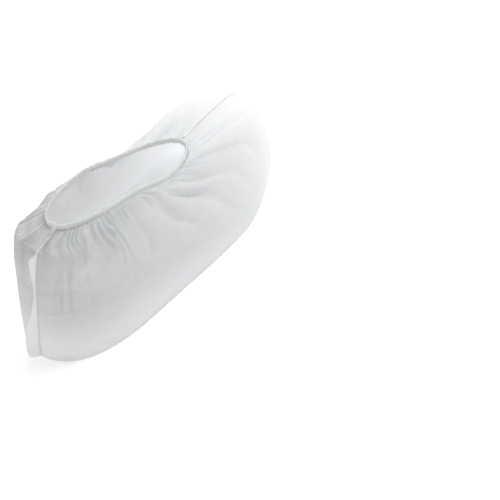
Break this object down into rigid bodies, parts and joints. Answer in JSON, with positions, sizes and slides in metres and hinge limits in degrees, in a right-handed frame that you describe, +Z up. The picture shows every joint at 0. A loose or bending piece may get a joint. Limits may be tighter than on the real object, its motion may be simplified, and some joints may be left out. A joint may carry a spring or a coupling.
{
  "type": "shoe cover",
  "caption": "Disposable nonwoven overshoe with a gathered elastic mouth, a flat sole, and welded seam flaps at heel and toe, shaped as over a low shoe.",
  "frame": {"origin": "on the floor, under the middle of the cover's whole length and width", "axes": "+X from heel to toe, +Y to the wearer's left if worn on the right foot, +Z up from the sole"},
  "size_m": [0.3333, 0.1135, 0.1126],
  "materials": {
    "nonwoven_cloth": "thin matt white spunbond nonwoven, slightly see-through",
    "elastic_hem": "the same cloth rolled and gathered over an elastic thread",
    "welded_seam": "two layers of the cloth welded together, a little brighter and stiffer"
  },
  "bodies": {
    "root": {"cover_body": "nonwoven_cloth", "elastic_hem": "elastic_hem", "heel_seam_flap": "welded_seam", "toe_seam_flap": "welded_seam"}
  },
  "joints": []
}
